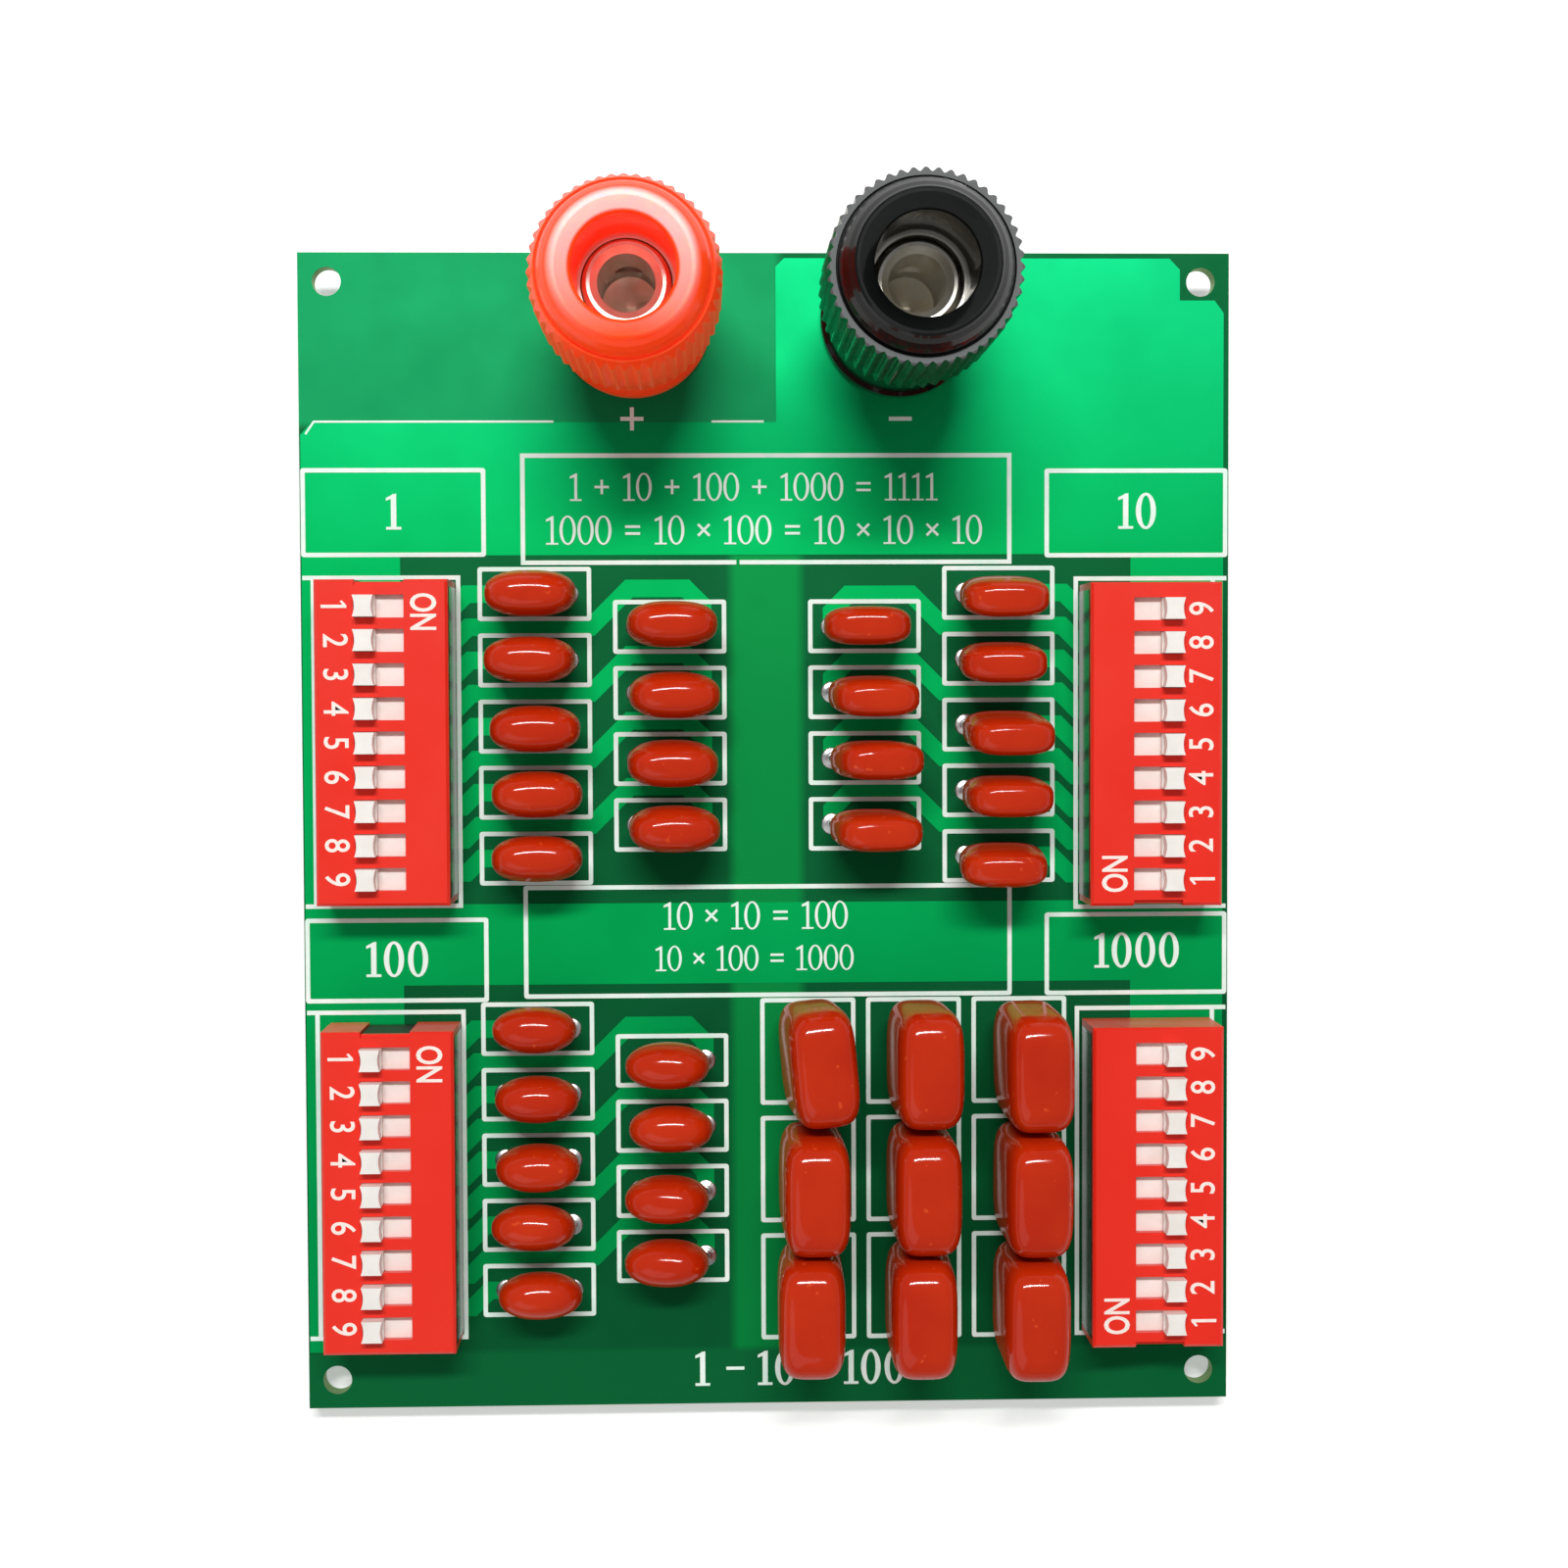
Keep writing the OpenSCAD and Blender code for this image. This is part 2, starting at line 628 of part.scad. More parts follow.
module post_stud(post)
    color([0.8, 0.8, 0.78])
        at_post(post)
            difference() {
                rotate_extrude()
                    polygon([[0, stud_bottom], [stud_r - 0.5, stud_bottom], [stud_r, stud_bottom + 0.5],
                        [stud_r, collar_h], [flange_d / 2, collar_h], [flange_d / 2, flange_top],
                        [stud_r, flange_top], [stud_r, stud_top - stud_taper_h], [stud_r - stud_taper, stud_top],
                        [0, stud_top]]);
                translate([0, 0, stud_top]) socket();
                translate([0, 0, flange_top + cross_hole_d / 2 + 0.3])
                    rotate([90, 0, 0]) cylinder(d = cross_hole_d, h = 2 * stud_d, center = true);
            }

collar_lip_h = 1.6;
module post_collar(post)
    color(post_colour(post))
        at_post(post)
            rotate_extrude()
                polygon([[stud_r + post_gap, 0], [collar_d / 2, 0], [collar_d / 2, collar_lip_h - 0.3],
                    [collar_d / 2 - 0.3, collar_lip_h], [collar_d / 2 - 0.5, collar_h - 0.5],
                    [collar_d / 2 - 1, collar_h], [stud_r + post_gap, collar_h]]);

module post_washers()
    color([0.75, 0.75, 0.75])
        post_places()
            translate([0, 0, -washer_t])
                difference() {
                    cylinder(d = washer_d, h = washer_t);
                    translate([0, 0, -past]) cylinder(r = stud_r + post_gap, h = washer_t + 2 * past);
                }

module post_nuts()
    color([0.78, 0.76, 0.7])
        post_places()
            translate([0, 0, -washer_t - nut_t])
                difference() {
                    cylinder(d = nut_flats / cos(30), h = nut_t, $fn = 6);
                    translate([0, 0, -past]) cylinder(r = stud_r + turn_gap, h = nut_t + 2 * past);
                }

circuit_board();
solder_joints();
capacitor_leads();
units_capacitors();
tens_capacitors();
hundreds_capacitors();
thousands_capacitors();
for (bank = [0 : last_bank])
    switch_cover(bank);
switch_bases();
switch_terminals();
contact_springs();
for (bank = [0 : last_bank], position = [1 : positions])
    switch_slider(bank, position);
for (post = [0 : 1]) {
    knob(post);
    knob_insert(post);
    post_stud(post);
    post_collar(post);
}
post_nuts();
post_washers();
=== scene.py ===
"""A programmable capacitor board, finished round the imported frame."""
import json
import math
import bpy
import bmesh
from mathutils import Euler, Matrix, Vector


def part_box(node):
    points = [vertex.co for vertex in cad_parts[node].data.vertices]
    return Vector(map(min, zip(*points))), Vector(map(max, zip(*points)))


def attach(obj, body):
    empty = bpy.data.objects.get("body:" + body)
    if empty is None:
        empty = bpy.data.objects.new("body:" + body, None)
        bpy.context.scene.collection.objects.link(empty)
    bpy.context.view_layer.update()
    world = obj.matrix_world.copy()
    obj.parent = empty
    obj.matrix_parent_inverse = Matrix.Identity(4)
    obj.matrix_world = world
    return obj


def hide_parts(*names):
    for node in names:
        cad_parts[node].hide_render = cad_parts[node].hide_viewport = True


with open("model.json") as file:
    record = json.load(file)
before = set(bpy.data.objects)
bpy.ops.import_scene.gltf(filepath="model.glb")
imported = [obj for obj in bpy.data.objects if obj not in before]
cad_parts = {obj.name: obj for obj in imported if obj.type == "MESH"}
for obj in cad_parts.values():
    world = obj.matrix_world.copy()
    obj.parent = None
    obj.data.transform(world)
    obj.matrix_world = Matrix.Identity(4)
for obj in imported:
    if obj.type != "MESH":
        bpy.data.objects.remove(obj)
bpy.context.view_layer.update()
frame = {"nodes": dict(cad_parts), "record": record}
MM = 0.001

# Places and sizes, in millimetres from the middle of the board, as in the part's source
BOARD_T = 1.6
PITCH = 2.54
POSITIONS = 9
UPPER_Y = 7.0
LOWER_Y = -26.5
INNER_COLUMN = 7.5
OUTER_COLUMN = 17.85
LEAD_D = 0.5
LEAD_SPAN = 5.08
BEND_H = 0.4
BODY_LIFT = 1.5
PIN_SPAN = 7.62
POST_X = 10.16
POST_Y = 39.37
LARGE_X = (3.02, 11.22, 19.42)
LARGE_Y = (-16.98, -26.15, -35.32)
# Edges of the copper fields: left of the right field, between the words and the banks, above the words on the
# left, and where the side strips end
POUR_MIDDLE_X = 0.75
POUR_WORDS_Y = 21.4
POUR_BARE_Y = 31.55
POUR_END_Y = -40.1
COVER_H = 6.3
COVER_TOP = BOARD_T + COVER_H
# A knob's boss over its ridges, and the depth of the funnel in it
BOSS_H = 2.2
MOUTH_DROP = 0.85
# Radius of the painted highlight ring on the red knob's rim
PAINTED_HIGHLIGHT_R = 4.8
# Which side of the board a bank is on, and the middle of its rows
BANKS = {"units": (-1, UPPER_Y), "tens": (1, UPPER_Y), "hundreds": (-1, LOWER_Y), "thousands": (1, LOWER_Y)}
SMALL_BANKS = ("units", "tens", "hundreds")

# Thin layers on the board's faces
COPPER_T = 0.035
INK_T = 0.075
INK_W = 0.34
TRACE_W = 1.35
PAD_R = 0.85
# Neighbouring copper shapes differ by this much in height, so that no two faces lie in one plane
COPPER_STEP = 0.0008


def linear(colour):
    """The linear value of a colour that is written as a screen shows it, from 0 to 1."""
    return [c / 12.92 if c <= 0.04045 else ((c + 0.055) / 1.055) ** 2.4 for c in colour]


# Materials

class Finish:
    """A material and the short names for wiring its nodes."""

    def __init__(self, name, colour, roughness, metallic=0.0, **sockets):
        self.material = bpy.data.materials.new(name)
        self.material.use_nodes = True
        self.tree = self.material.node_tree
        self.shader = self.tree.nodes["Principled BSDF"]
        self.colour = linear(colour)
        self.set("Base Color", (*self.colour, 1))
        self.set("Roughness", roughness)
        self.set("Metallic", metallic)
        for socket, value in sockets.items():
            self.set(socket.replace("_", " "), value)

    def set(self, socket, value):
        self.shader.inputs[socket].default_value = value

    def node(self, kind, **values):
        made = self.tree.nodes.new(kind)
        for name, value in values.items():
            if name in made.inputs:
                made.inputs[name].default_value = value
            else:
                setattr(made, name, value)
        return made

    def link(self, start, end):
        self.tree.links.new(start, end)

    def noise(self, scale, detail=4.0, roughness=0.5, stretch=(1, 1, 1)):
        """Noise over the model's own coordinates, which are in metres."""
        place = self.node("ShaderNodeTexCoord")
        mapping = self.node("ShaderNodeMapping")
        mapping.inputs["Scale"].default_value = stretch
        noise = self.node("ShaderNodeTexNoise", Scale=scale, Detail=detail, Roughness=roughness)
        self.link(place.outputs["Object"], mapping.inputs["Vector"])
        self.link(mapping.outputs["Vector"], noise.inputs["Vector"])
        return noise.outputs["Fac"]

    def spread(self, value, low, high, start=0.3, end=0.7):
        """A value from start to end becomes one from low to high."""
        made = self.node("ShaderNodeMapRange")
        made.inputs["From Min"].default_value = start
        made.inputs["From Max"].default_value = end
        made.inputs["To Min"].default_value = low
        made.inputs["To Max"].default_value = high
        self.link(value, made.inputs["Value"])
        return made.outputs["Result"]

    def mixed(self, factor, first, second):
        """A colour between two, each a written colour or another node's output."""
        made = self.node("ShaderNodeMix", data_type="RGBA")
        self.link(factor, made.inputs["Factor"])
        for value, socket in ((first, made.inputs[6]), (second, made.inputs[7])):
            if isinstance(value, (tuple, list)):
                socket.default_value = (*linear(value), 1)
            else:
                self.link(value, socket)
        return made.outputs[2]

    def vary(self, other, scale, detail=4.0, stretch=(1, 1, 1)):
        """The base colour drifts to another one."""
        mottle = self.spread(self.noise(scale, detail, stretch=stretch), 0, 1)
        made = self.node("ShaderNodeMix", data_type="RGBA")
        self.link(mottle, made.inputs["Factor"])
        made.inputs[6].default_value = (*self.colour, 1)
        made.inputs[7].default_value = (*linear(other), 1)
        self.link(made.outputs[2], self.shader.inputs["Base Color"])
        return made.outputs[2]

    def ramp(self, axis, start, end):
        """0 at start and 1 at end along one of the model's axes, in millimetres."""
        place = self.node("ShaderNodeTexCoord")
        axes = self.node("ShaderNodeSeparateXYZ")
        self.link(place.outputs["Object"], axes.inputs[0])
        value = axes.outputs[axis]
        if start > end:
            return self.spread(value, 1, 0, end * MM, start * MM)
        return self.spread(value, 0, 1, start * MM, end * MM)

    def radius(self, x, y):
        """Distance from an upright axis, in metres."""
        place = self.node("ShaderNodeTexCoord")
        axes = self.node("ShaderNodeSeparateXYZ")
        flat = self.node("ShaderNodeCombineXYZ")
        away = self.node("ShaderNodeVectorMath", operation="DISTANCE")
        self.link(place.outputs["Object"], axes.inputs[0])
        self.link(axes.outputs["X"], flat.inputs["X"])
        self.link(axes.outputs["Y"], flat.inputs["Y"])
        self.link(flat.outputs[0], away.inputs[0])
        away.inputs[1].default_value = (x * MM, y * MM, 0)
        return away.outputs["Value"]

    def maths(self, operation, first, second=None):
        made = self.node("ShaderNodeMath", operation=operation)
        for value, socket in zip((first, second), made.inputs):
            if isinstance(value, (int, float)):
                socket.default_value = value
            elif value is not None:
                self.link(value, socket)
        return made.outputs[0]

    def facing_up(self, start, end):
        """0 where the surface's own normal has a rise below start, and 1 above end."""
        surface = self.node("ShaderNodeNewGeometry")
        axes = self.node("ShaderNodeSeparateXYZ")
        self.link(surface.outputs["Normal"], axes.inputs[0])
        return self.spread(self.maths("ABSOLUTE", axes.outputs["Z"]), 0, 1, start, end)

    def colour_from(self, value):
        self.link(value, self.shader.inputs["Base Color"])

    def scuff(self, low, high, scale):
        self.link(self.spread(self.noise(scale), low, high), self.shader.inputs["Roughness"])

    def bump(self, scale, height, strength=1.0, detail=3.0, stretch=(1, 1, 1)):
        made = self.node("ShaderNodeBump", Strength=strength, Distance=height * MM)
        self.link(self.noise(scale, detail, stretch=stretch), made.inputs["Height"])
        self.link(made.outputs["Normal"], self.shader.inputs["Normal"])
        return made


def green_mask():
    """Solder mask over bare laminate, with soft paler fields where copper on the far side shows through, and a
    painted sheen in the bare corner above the words on the left.
    """
    finish = Finish("green_mask", (0.0, 0.36, 0.19), 0.5, 0.6, Specular_IOR_Level=0.15)
    surface = finish.mixed(finish.spread(finish.noise(90, 3), 0, 1), (0.0, 0.35, 0.18), (0.005, 0.38, 0.2))
    middle = finish.maths("MULTIPLY", finish.ramp("X", -3.2, -2.4), finish.ramp("X", 3.0, 2.2))
    middle = finish.maths("MULTIPLY", middle, finish.ramp("Y", POUR_WORDS_Y + 0.4, POUR_WORDS_Y - 0.2))
    surface = finish.mixed(middle, surface, (0.0, 0.54, 0.25))
    # Paler bare corner above the words on the left: a painted sheen
    painted_sheen_corner = finish.maths("MULTIPLY", finish.ramp("Y", POUR_BARE_Y - 0.55, POUR_BARE_Y + 0.05),
                          finish.ramp("X", POUR_MIDDLE_X + 0.65, POUR_MIDDLE_X - 0.15))
    surface = finish.mixed(painted_sheen_corner, surface, (0.05, 0.545, 0.32))
    surface = finish.mixed(finish.ramp("Y", POUR_END_Y + 0.2, POUR_END_Y - 0.3), surface, (0.02, 0.42, 0.22))
    glass = finish.mixed(finish.spread(finish.noise(2600, 2, stretch=(0.1, 0.1, 1)), 0, 1),
                         (0.42, 0.62, 0.36), (0.62, 0.74, 0.5))
    finish.colour_from(finish.mixed(finish.facing_up(0.4, 0.6), glass, surface))
    finish.bump(420, 0.02, 0.25)
    finish.scuff(0.46, 0.56, 140)
    return finish.material


def copper_mask():
    """Solder mask over copper, whose metal shows through the green, paler towards the top edge as painted light."""
    finish = Finish("copper_mask", (0.0, 0.64, 0.32), 0.5, 0.85, Specular_IOR_Level=0.15)
    drift = finish.mixed(finish.spread(finish.noise(70, 4), 0, 1), (0.0, 0.63, 0.31), (0.0, 0.66, 0.34))
    # Paler towards the top edge: painted light falling off down the board
    finish.colour_from(finish.mixed(finish.ramp("Y", 20, 44), drift, (0.04, 0.7, 0.43)))
    finish.bump(300, 0.02, 0.25)
    finish.scuff(0.45, 0.54, 120)
    return finish.material


def ink():
    finish = Finish("board_ink_and_glints", (0.96, 1.0, 0.97), 0.55)
    finish.vary((0.88, 0.99, 0.93), 900)
    finish.bump(2500, 0.02, 0.4)
    return finish.material


def switch_ink():
    finish = Finish("switch_ink", (1.0, 0.96, 0.93), 0.5)
    finish.vary((0.98, 0.9, 0.86), 1500)
    finish.bump(2500, 0.015, 0.4)
    return finish.material


def tin():
    finish = Finish("tin", (0.86, 0.87, 0.86), 0.24, 1.0)
    finish.vary((0.72, 0.73, 0.72), 1200)
    finish.bump(900, 0.05, 0.5)
    finish.scuff(0.18, 0.4, 700)
    return finish.material


def wire():
    finish = Finish("wire", (0.85, 0.85, 0.84), 0.22, 1.0)
    finish.vary((0.74, 0.74, 0.74), 1500, stretch=(1, 1, 0.15))
    finish.bump(2500, 0.01, 0.4)
    return finish.material


def dipped_coating():
    """Thick glossy coating that the bodies were dipped in, with a few pale specks that are painted glints."""
    finish = Finish("dipped_coating", (0.78, 0.17, 0.03), 0.4, Specular_IOR_Level=0.0, Coat_Weight=0.5,
                    Coat_IOR=1.6, Coat_Roughness=0.1, Subsurface_Weight=0.15, Subsurface_Scale=1.0,
                    Subsurface_Radius=(0.6 * MM, 0.15 * MM, 0.05 * MM))
    cloud = finish.mixed(finish.spread(finish.noise(160), 0, 1), (0.79, 0.19, 0.035), (0.74, 0.15, 0.025))
    # Pale specks: painted glints
    painted_glint_specks = finish.spread(finish.noise(1500, 1), 1, 0, 0.23, 0.27)
    finish.colour_from(finish.mixed(painted_glint_specks, cloud, (0.84, 0.28, 0.1)))
    finish.bump(330, 0.03, 0.15, 2.0)
    return finish.material


def cover_plastic():
    finish = Finish("cover_plastic", (0.94, 0.19, 0.125), 0.32, Specular_IOR_Level=0.3)
    finish.vary((0.92, 0.165, 0.105), 60)
    finish.bump(1800, 0.01, 0.35)
    finish.scuff(0.28, 0.38, 220)
    return finish.material


def white_nylon():
    finish = Finish("white_nylon", (0.97, 0.955, 0.93), 0.45, Subsurface_Weight=0.2,
                    Subsurface_Radius=(0.4 * MM, 0.35 * MM, 0.3 * MM), Subsurface_Scale=1.0)
    finish.vary((0.93, 0.91, 0.88), 500)
    finish.bump(1600, 0.015, 0.3)
    return finish.material


def black_nylon():
    finish = Finish("black_nylon", (0.08, 0.07, 0.07), 0.55, Specular_IOR_Level=0.25)
    finish.vary((0.06, 0.06, 0.06), 300)
    finish.bump(1500, 0.02, 0.4)
    return finish.material


def side_plastic():
    """The smooth black long sides of the switches, which mirror the board."""
    finish = Finish("side_plastic", (0.07, 0.06, 0.07), 0.14)
    finish.vary((0.1, 0.08, 0.09), 400)
    finish.bump(1500, 0.006, 0.3)
    return finish.material


def plated(name, colour, other):
    finish = Finish(name, colour, 0.25, 1.0)
    finish.vary(other, 900)
    finish.bump(1800, 0.01, 0.4)
    return finish.material


def knob_top(post):
    """Height of a knob's rim in millimetres."""
    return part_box(f"{post}_knob")[1][2] / MM


def gloss_red():
    """Red plastic that light gets into, with a weak red emission that is painted glow, and a pale ring on the rim
    round the mouth that is a painted highlight.
    """
    # The red emission is painted glow: the plastic is no lamp
    finish = Finish("gloss_red", (0.99, 0.3, 0.05), 0.35, Specular_IOR_Level=0.1, Coat_Weight=0.25,
                    Coat_Roughness=0.08, Emission_Color=(0.9, 0.04, 0.014, 1), Emission_Strength=0.3,
                    Subsurface_Weight=0.9, Subsurface_Scale=1.0,
                    Subsurface_Radius=(3.0 * MM, 0.6 * MM, 0.2 * MM))
    red = finish.mixed(finish.spread(finish.noise(120), 0, 1), (1.0, 0.32, 0.05), (0.98, 0.27, 0.04))
    # The pale ring round the mouth, stronger towards the top of the board, is a painted highlight
    rim = finish.spread(finish.radius(-POST_X, POST_Y), 1, 0, PAINTED_HIGHLIGHT_R * MM, (PAINTED_HIGHLIGHT_R + 0.5) * MM)
    funnel = finish.ramp("Z", knob_top("red") - MOUTH_DROP + 0.05, knob_top("red") - MOUTH_DROP + 0.2)
    painted_highlight = finish.maths("MULTIPLY", finish.maths("MULTIPLY", rim, funnel), finish.ramp("Y", 34.5, 42.5))
    painted_highlight = finish.maths("MULTIPLY", painted_highlight, finish.spread(finish.noise(260, 3), 0.85, 1.0))
    finish.colour_from(finish.mixed(painted_highlight, red, (1.0, 0.94, 0.93)))
    finish.bump(700, 0.02, 0.3)
    return finish.material


def gloss_black():
    """Black plastic that is pale grey on the upward faces of the shoulder round the boss."""
    finish = Finish("gloss_black", (0.04, 0.05, 0.05), 0.3, Specular_IOR_Level=0.1, Coat_Weight=0.4,
                    Coat_Roughness=0.06)
    black = finish.mixed(finish.spread(finish.noise(150), 0, 1), (0.03, 0.04, 0.035), (0.05, 0.06, 0.06))
    shoulder_z = knob_top("black") - BOSS_H
    shoulder = finish.maths("MULTIPLY", finish.ramp("Z", shoulder_z - 0.3, shoulder_z - 0.1),
                            finish.ramp("Z", shoulder_z + 0.3, shoulder_z + 0.15))
    # Pale grey on the shoulder's upward faces
    pale_shoulder_faces = finish.maths("MULTIPLY", shoulder, finish.facing_up(0.5, 0.8))
    finish.colour_from(finish.mixed(pale_shoulder_faces, black, (0.42, 0.43, 0.43)))
    finish.bump(600, 0.03, 0.35)
    finish.scuff(0.24, 0.4, 260)
    return finish.material


def turned_nickel():
    """Bright nickel with fine rings and streaks left by the lathe."""
    finish = Finish("turned_nickel", (1.0, 0.99, 0.96), 0.35, 1.0)
    finish.vary((0.95, 0.92, 0.86), 700, stretch=(1, 1, 0.2))
    finish.bump(900, 0.05, 0.7, stretch=(1, 1, 0.15))
    finish.scuff(0.28, 0.46, 600)
    return finish.material


def zinc():
    finish = Finish("zinc", (0.78, 0.78, 0.76), 0.35, 1.0)
    finish.vary((0.66, 0.66, 0.64), 500)
    finish.bump(1200, 0.02, 0.4)
    return finish.material


materials = {
    "laminate": green_mask(),
    "solder": tin(),
    "tinned_wire": wire(),
    "orange_coating": dipped_coating(),
    "red_plastic": cover_plastic(),
    "black_nylon": black_nylon(),
    "plated_terminal": plated("plated_terminal", (0.85, 0.8, 0.66), (0.75, 0.68, 0.5)),
    "spring_bronze": plated("spring_bronze", (0.85, 0.62, 0.38), (0.75, 0.5, 0.28)),
    "white_nylon": white_nylon(),
    "red_gloss": gloss_red(),
    "black_gloss": gloss_black(),
    "nickel": turned_nickel(),
    "steel": zinc(),
}
copper_finish = copper_mask()
side_finish = side_plastic()
ink_finish = ink()
switch_ink_finish = switch_ink()

for part in frame["record"]["subparts"]:
    node = frame["nodes"][part["node"]]
    node.data.materials.clear()
    node.data.materials.append(materials[part["material_slot"]])


# Flat shapes

def add_prism(bm, outline, low, high):
    """A closed prism on an outline of (x, y) in millimetres that runs anticlockwise."""
    bottom = [bm.verts.new((x * MM, y * MM, low * MM)) for x, y in outline]
    top = [bm.verts.new((x * MM, y * MM, high * MM)) for x, y in outline]
    bm.faces.new(top)
    bm.faces.new(bottom[::-1])
    for i in range(len(outline)):
        j = (i + 1) % len(outline)
        bm.faces.new((bottom[i], bottom[j], top[j], top[i]))


def add_ring(bm, outer, inner, low, high):
    """A closed ring between two outlines with as many points each."""
    loops = []
    for outline, level in ((outer, low), (outer, high), (inner, high), (inner, low)):
        loops.append([bm.verts.new((x * MM, y * MM, level * MM)) for x, y in outline])
    for a, b in zip(loops, loops[1:] + loops[:1]):
        for i in range(len(a)):
            j = (i + 1) % len(a)
            bm.faces.new((a[i], a[j], b[j], b[i]))


def rounded(x0, y0, x1, y1, r, steps=4):
    """The outline of a rectangle with round corners."""
    centres = ((x1 - r, y1 - r, 0), (x0 + r, y1 - r, 90), (x0 + r, y0 + r, 180), (x1 - r, y0 + r, 270))
    return [(x + r * math.cos(math.radians(start + 90 * k / steps)),
             y + r * math.sin(math.radians(start + 90 * k / steps)))
            for x, y, start in centres for k in range(steps + 1)]


def circle(x, y, r, steps=24):
    return [(x + r * math.cos(2 * math.pi * k / steps), y + r * math.sin(2 * math.pi * k / steps))
            for k in range(steps)]


def add_frame(bm, x0, y0, x1, y1, low, high, width=INK_W):
    """A printed rectangle, whose line runs through the corners given."""
    h = width / 2
    add_ring(bm, rounded(x0 - h, y0 - h, x1 + h, y1 + h, 1.3 * h),
             rounded(x0 + h, y0 + h, x1 - h, y1 - h, 0.5 * h), low, high)


def strip_outline(path, width):
    """The outline of a strip along a path, with mitred corners."""
    points = [Vector(p) for p in path]
    sides = []
    for i, p in enumerate(points):
        before = (p - points[i - 1]).normalized() if i > 0 else None
        after = (points[i + 1] - p).normalized() if i + 1 < len(points) else None
        first = before or after
        second = after or before
        across = Vector((-first.y - second.y, first.x + second.x)).normalized()
        reach = width / 2 / max(0.3, across.dot(Vector((-first.y, first.x))))
        sides.append((p + across * reach, p - across * reach))
    return [tuple(right) for left, right in sides] + [tuple(left) for left, right in sides[::-1]]


def piece(name, build, material, smooth=False):
    """A mesh that build fills, carried by the board."""
    bm = bmesh.new()
    build(bm)
    bmesh.ops.recalc_face_normals(bm, faces=bm.faces)
    mesh = bpy.data.meshes.new(name)
    bm.to_mesh(mesh)
    bm.free()
    made = bpy.data.objects.new(name, mesh)
    bpy.context.scene.collection.objects.link(made)
    mesh.materials.append(material)
    if smooth:
        mesh.polygons.foreach_set("use_smooth", [True] * len(mesh.polygons))
    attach(made, "root")
    return made


# Copper under the mask

top = BOARD_T
row_top_y = (POSITIONS - 1) / 2 * PITCH


def cover_middle(bank):
    """The middle of a bank's switch in millimetres. Each stands a little off the bank's own place."""
    low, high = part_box(f"{bank}_switch_cover")
    return (low[0] + high[0]) / 2 / MM, (low[1] + high[1]) / 2 / MM


def switch_row(bank, row):
    return cover_middle(bank)[1] + row_top_y - row * PITCH


def small_place(bank, row):
    """The middle between the two leads of a small capacitor. Rows run from the top of the board down."""
    side, bank_y = BANKS[bank]
    return side * (OUTER_COLUMN if row % 2 == 0 else INNER_COLUMN), bank_y + row_top_y + (0.5 - row) * PITCH


# How far a trace to the inner column passes above the middle of the row over it
TOP_RUN = {"units": 0.4, "tens": -0.1, "hundreds": 0.2}


def trace_path(bank, row):
    """From a switch pin to its capacitor's lead. Even rows end at the outer column."""
    side = BANKS[bank][0]
    pin_x = side * cover_middle(bank)[0] - PIN_SPAN / 2
    y = switch_row(bank, row)
    up = small_place(bank, row)[1]
    rise_x = pin_x - 0.9 - 0.12 * row
    path = [(pin_x, y), (rise_x, y), (rise_x - (up - y), up)]
    if row % 2 == 0:
        path.append((OUTER_COLUMN + LEAD_SPAN / 2, up))
    else:
        outer_edge = OUTER_COLUMN - 4.3
        lead_x = INNER_COLUMN - LEAD_SPAN / 2
        over = up + PITCH + TOP_RUN[bank]
        path += [(outer_edge, up), (outer_edge - (over - up), over), (lead_x + 1.3, over),
                 (lead_x, over - 1.3), (lead_x, up)]
    return [(side * x, y) for x, y in path]


POUR_EDGE_X = 35.3
LEFT_EDGE_X = -35.6
POUR_GAP_X = 28.1
POURS = [
    # From the left edge to the middle, behind the words, with a bevelled corner; and the band between the banks
    [(LEFT_EDGE_X, POUR_WORDS_Y), (POUR_MIDDLE_X, POUR_WORDS_Y), (POUR_MIDDLE_X, POUR_BARE_Y),
     (-34.7, POUR_BARE_Y), (LEFT_EDGE_X, 30.6)],
    [(-POUR_GAP_X, -11.65), (POUR_GAP_X, -11.65), (POUR_GAP_X, -5.4), (-POUR_GAP_X, -5.4)],
    # Right of the middle up to the top edge, but not round the corner hole
    [(POUR_MIDDLE_X, POUR_WORDS_Y), (POUR_EDGE_X, POUR_WORDS_Y), (POUR_EDGE_X, 39.9), (34.6, 40.85),
     (31.9, 40.85), (31.9, 43.2), (31.1, 44.05), (1.4, 44.05), (POUR_MIDDLE_X, 43.4)],
    # Down both side edges
    [(LEFT_EDGE_X, POUR_END_Y), (-POUR_GAP_X, POUR_END_Y), (-POUR_GAP_X, POUR_WORDS_Y),
     (LEFT_EDGE_X, POUR_WORDS_Y)],
    [(POUR_GAP_X, POUR_END_Y), (POUR_EDGE_X, POUR_END_Y), (POUR_EDGE_X, POUR_WORDS_Y),
     (POUR_GAP_X, POUR_WORDS_Y)],
]


def build_copper(bm):
    for step, outline in enumerate(POURS):
        add_prism(bm, outline, top, top + COPPER_T + step * COPPER_STEP)
    for bank in SMALL_BANKS:
        for row in range(POSITIONS):
            outline = strip_outline(trace_path(bank, row), TRACE_W)
            add_prism(bm, outline, top, top + COPPER_T + (len(POURS) + row) * COPPER_STEP)


piece("copper_under_mask", build_copper, copper_finish)
